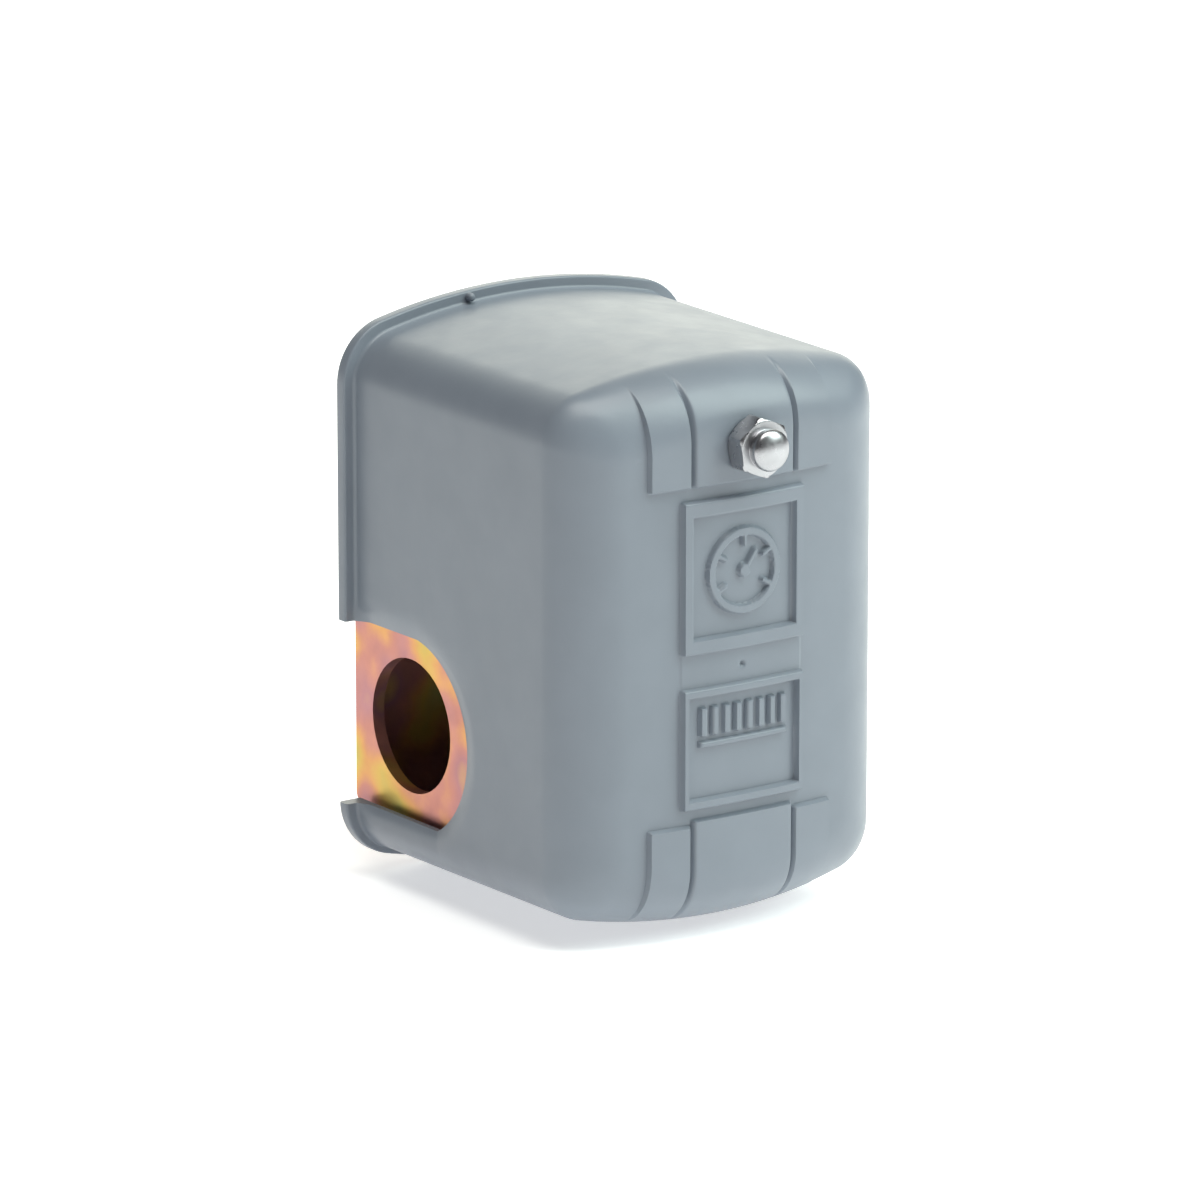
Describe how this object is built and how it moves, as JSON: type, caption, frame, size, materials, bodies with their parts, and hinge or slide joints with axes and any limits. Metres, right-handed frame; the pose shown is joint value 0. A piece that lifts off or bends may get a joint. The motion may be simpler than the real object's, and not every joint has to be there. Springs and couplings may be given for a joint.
{
  "type": "pressure switch",
  "caption": "Diaphragm pressure switch for a pump or compressor: steel cover held by a cap nut, conduit openings, spring-loaded plate, rocking contacts and pipe port.",
  "frame": {"origin": "centre of the pressure port's mouth", "axes": "+Y out of the port, away from the cover's face; +Z from the conduit end up to the spring and cap-nut end; +X to the right of someone who looks at the cover's face"},
  "size_m": [0.0674, 0.0997, 0.095],
  "materials": {
    "cover_enamel": "semi-gloss gray enamel",
    "yellow_zinc": "yellow chromate zinc plate on steel, iridescent",
    "bright_zinc": "bright zinc plate on steel",
    "spring_steel": "oiled drawn wire",
    "brass": "stamped brass with silver contact buttons",
    "black_phenolic": "moulded phenolic",
    "white_nylon": "moulded nylon",
    "rubber": "fabric-backed rubber",
    "green_zinc": "green dyed zinc plate"
  },
  "bodies": {
    "frame": {"base_frame": "yellow_zinc", "plate_pivot_pin": "bright_zinc", "carrier_pivot_pin": "bright_zinc", "range_stud": "bright_zinc", "range_spring": "spring_steel", "differential_stud": "bright_zinc", "differential_spring": "spring_steel", "diaphragm": "rubber", "pressure_housing": "bright_zinc", "housing_screw_1": "bright_zinc", "housing_screw_2": "bright_zinc", "housing_screw_3": "bright_zinc", "housing_screw_4": "bright_zinc", "housing_screw_5": "bright_zinc", "housing_screw_6": "bright_zinc", "toggle_spring": "spring_steel", "terminal_block": "black_phenolic", "terminal_block_screw_left": "bright_zinc", "terminal_block_screw_right": "bright_zinc", "ground_screw_left": "green_zinc", "ground_screw_right": "green_zinc", "terminal_plate_1": "brass", "wire_clamp_1": "bright_zinc", "terminal_screw_1": "bright_zinc", "terminal_plate_2": "brass", "wire_clamp_2": "bright_zinc", "terminal_screw_2": "bright_zinc", "terminal_plate_3": "brass", "wire_clamp_3": "bright_zinc", "terminal_screw_3": "bright_zinc", "terminal_plate_4": "brass", "wire_clamp_4": "bright_zinc", "terminal_screw_4": "bright_zinc"},
    "cover": {"cover": "cover_enamel"},
    "cap_nut": {"cap_nut": "bright_zinc"},
    "range_seat": {"range_spring_seat": "bright_zinc"},
    "range_nut": {"range_nut": "bright_zinc"},
    "differential_seat": {"differential_spring_seat": "bright_zinc"},
    "differential_nut": {"differential_nut": "bright_zinc"},
    "pressure_plate": {"pressure_plate": "yellow_zinc"},
    "piston": {"piston": "white_nylon"},
    "contact_carrier": {"contact_carrier": "white_nylon", "contact_spring_left": "spring_steel", "contact_spring_right": "spring_steel"},
    "contact_left": {"moving_contact_left": "brass"},
    "contact_right": {"moving_contact_right": "brass"}
  },
  "joints": [
    {"name": "cover_lift", "type": "slide", "parent": "frame", "child": "cover", "axis": [0, -1, 0], "range_m": [0, 0.085]},
    {"name": "cap_nut_turn", "type": "hinge", "parent": "cover", "child": "cap_nut", "pos_m": [0.0007, -0.096, 0.0212], "axis": [0, -1, 0], "range_deg": [0, 1800]},
    {"name": "range_seat_slide", "type": "slide", "parent": "frame", "child": "range_seat", "axis": [0, 1, 0], "range_m": [-0.00254, 0.00381], "deforming": ["range_spring"]},
    {"name": "range_nut_turn", "type": "hinge", "parent": "range_seat", "child": "range_nut", "pos_m": [0.0007, -0.073, 0.0212], "axis": [0, 1, 0], "range_deg": [-720, 1080]},
    {"name": "differential_seat_slide", "type": "slide", "parent": "frame", "child": "differential_seat", "axis": [0, 1, 0], "range_m": [-0.00158, 0.00237], "deforming": ["differential_spring"]},
    {"name": "differential_nut_turn", "type": "hinge", "parent": "differential_seat", "child": "differential_nut", "pos_m": [0.017, -0.056, 0.0145], "axis": [0, 1, 0], "range_deg": [-720, 1080]},
    {"name": "plate_tilt", "type": "hinge", "parent": "frame", "child": "pressure_plate", "pos_m": [0, -0.036, -0.0105], "axis": [1, 0, 0], "range_deg": [0, 3], "stiffness_Nm_per_rad": 1, "springref_deg": -5.73, "deforming": ["range_spring", "differential_spring", "toggle_spring"]},
    {"name": "piston_slide", "type": "slide", "parent": "frame", "child": "piston", "axis": [0, -1, 0], "range_m": [0, 0.0006], "deforming": ["diaphragm"]},
    {"name": "carrier_rock", "type": "hinge", "parent": "frame", "child": "contact_carrier", "pos_m": [0, -0.067, -0.0095], "axis": [1, 0, 0], "range_deg": [0, 12.5]},
    {"name": "contact_left_float", "type": "slide", "parent": "contact_carrier", "child": "contact_left", "axis": [0, -1, 0], "range_m": [0, 0.0006], "deforming": ["contact_spring_left"]},
    {"name": "contact_right_float", "type": "slide", "parent": "contact_carrier", "child": "contact_right", "axis": [0, -1, 0], "range_m": [0, 0.0006], "deforming": ["contact_spring_right"]}
  ],
  "couplings": [
    {"joint": "range_nut_turn", "follows": "range_seat_slide", "rad_per_m": 4947.4},
    {"joint": "differential_nut_turn", "follows": "differential_seat_slide", "rad_per_m": 7953.4},
    {"joint": "piston_slide", "follows": "plate_tilt", "m_per_rad": 0.0105},
    {"joint": "carrier_rock", "follows": "plate_tilt", "ratio": 4},
    {"joint": "contact_left_float", "follows": "plate_tilt", "m_per_rad": 0.011},
    {"joint": "contact_right_float", "follows": "plate_tilt", "m_per_rad": 0.011}
  ]
}
